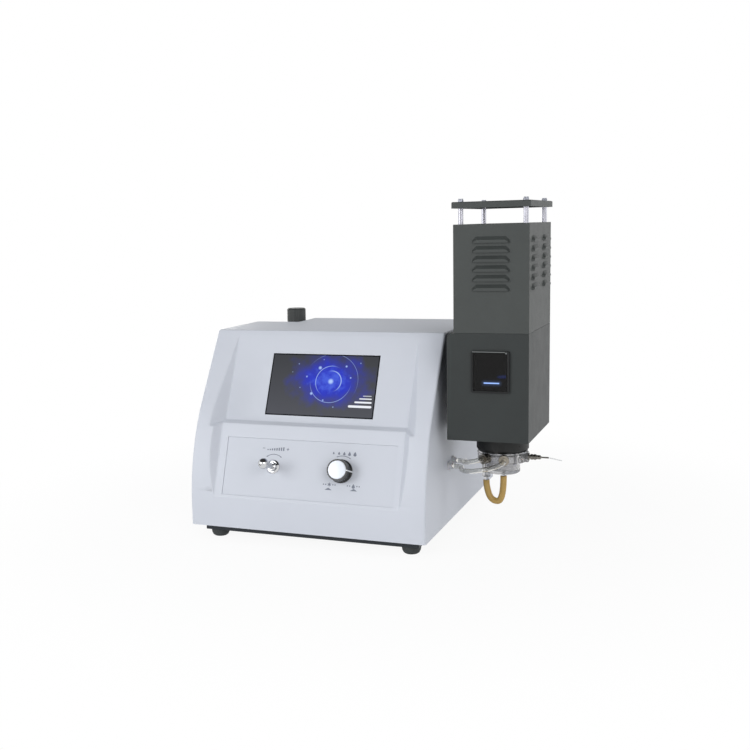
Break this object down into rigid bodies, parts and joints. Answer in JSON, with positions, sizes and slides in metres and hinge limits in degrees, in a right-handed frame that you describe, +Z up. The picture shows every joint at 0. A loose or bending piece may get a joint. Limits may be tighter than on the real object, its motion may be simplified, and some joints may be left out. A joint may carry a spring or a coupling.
{
  "type": "flame photometer",
  "caption": "Bench flame photometer: sloping cabinet with a tilted touch screen and valve knobs, louvred burner column on its right side over a clear spray chamber.",
  "frame": {"origin": "on the bench, under the middle of the whole outline without the hoses", "axes": "+X to the instrument's right where the burner column stands, -Y to the operator, +Z up"},
  "size_m": [0.4868, 0.4484, 0.455],
  "materials": {
    "cabinet_plastic": "cool light grey moulded plastic, satin gloss",
    "plate_plastic": "pale grey printed control plate",
    "screen_glass": "black touch cover glass with a lit display behind it",
    "module_metal": "sheet-metal back of the display",
    "circuit_board": "green solder resist",
    "zinc_steel": "zinc-plated steel",
    "chassis_paint": "dark powder-coated steel",
    "chrome": "bright chrome plate",
    "black_knob": "black fluted plastic",
    "knob_cap": "silver cap, fine turned",
    "brass": "machined brass",
    "rubber_foot": "black rubber",
    "rear_sheet": "light grey powder coat",
    "black_plastic": "black moulded plastic",
    "regulator_metal": "die-cast body, silver grey paint",
    "clear_bowl": "clear polycarbonate",
    "filter_white": "porous white plastic",
    "regulator_black": "black ribbed plastic",
    "gauge_face": "black case, white dial",
    "needle_red": "red painted needle",
    "column_paint": "dark grey-green powder coat, fine texture",
    "stainless": "stainless steel",
    "window_dark": "dark filter glass",
    "burner_steel": "heat-darkened stainless steel",
    "ceramic": "white glazed ceramic",
    "collar_black": "black anodised",
    "acrylic": "clear machined acrylic",
    "fitting_metal": "nickel-plated brass",
    "hose_clear": "clear flexible tube",
    "amber_tube": "amber latex tube",
    "optic_black": "black anodised",
    "filter_yellow": "coloured optical filter"
  },
  "bodies": {
    "instrument": {"cabinet": "cabinet_plastic", "chassis_tray": "chassis_paint", "feet": "rubber_foot", "chassis_screws": "zinc_steel", "display_glass": "screen_glass", "display_module": "module_metal", "display_board": "circuit_board", "board_standoffs": "brass", "control_plate": "plate_plastic", "fine_valve": "brass", "gas_valve": "brass", "valve_nuts": "chrome", "rear_panel": "rear_sheet", "rear_screws": "zinc_steel", "mains_inlet": "black_plastic", "switch_bezel": "black_plastic", "gas_supply_barb": "brass", "regulator_body": "regulator_metal", "regulator_bowl": "clear_bowl", "filter_element": "filter_white", "regulator_drain": "regulator_black", "regulator_gauge": "gauge_face", "gauge_glass": "clear_bowl", "air_inlet_fitting": "fitting_metal", "regulator_outlet": "fitting_metal", "regulator_bracket": "zinc_steel", "main_board": "circuit_board", "power_supply": "zinc_steel", "optics_tube": "optic_black", "filter_holder": "optic_black", "optical_filter": "filter_yellow", "detector": "optic_black", "column_bracket": "column_paint", "bracket_bolts": "zinc_steel", "burner_housing": "column_paint", "chimney": "column_paint", "lid": "column_paint", "lid_posts": "stainless", "lid_screws": "stainless", "window_frame": "black_plastic", "window_pane": "window_dark", "burner_head": "burner_steel", "igniter": "ceramic", "burner_collar": "collar_black", "mixing_chamber": "acrylic", "chamber_screws": "stainless", "drain_nipples": "acrylic", "port_fittings": "fitting_metal", "nebuliser": "stainless", "capillary": "stainless", "hose_bulkheads": "fitting_metal", "gas_hose": "hose_clear", "air_hose": "hose_clear", "drain_tube": "amber_tube"},
    "fine_knob": {"fine_knob": "chrome"},
    "gas_knob": {"gas_knob": "black_knob", "gas_knob_cap": "knob_cap"},
    "regulator_knob": {"regulator_knob": "regulator_black"},
    "power_rocker": {"switch_rocker": "black_plastic"},
    "needle": {"gauge_needle": "needle_red"}
  },
  "joints": [
    {"name": "fine_turn", "type": "hinge", "parent": "instrument", "child": "fine_knob", "pos_m": [-0.12482, -0.1865, 0.10447], "axis": [0, -0.9397, 0.342], "range_deg": [-540, 540]},
    {"name": "gas_turn", "type": "hinge", "parent": "instrument", "child": "gas_knob", "pos_m": [-0.02602, -0.1865, 0.10447], "axis": [0, -0.9397, 0.342], "range_deg": [-135, 135]},
    {"name": "regulator_turn", "type": "hinge", "parent": "instrument", "child": "regulator_knob", "pos_m": [-0.20142, 0.09425, 0.285], "axis": [0, 0, 1], "range_deg": [-900, 900]},
    {"name": "switch_rock", "type": "hinge", "parent": "instrument", "child": "power_rocker", "pos_m": [0.04258, 0.19625, 0.112], "axis": [1, 0, 0], "range_deg": [0, 16]},
    {"name": "needle_turn", "type": "hinge", "parent": "instrument", "child": "needle", "pos_m": [-0.20142, 0.13025, 0.238], "axis": [0, 1, 0], "range_deg": [-135, 135]}
  ]
}
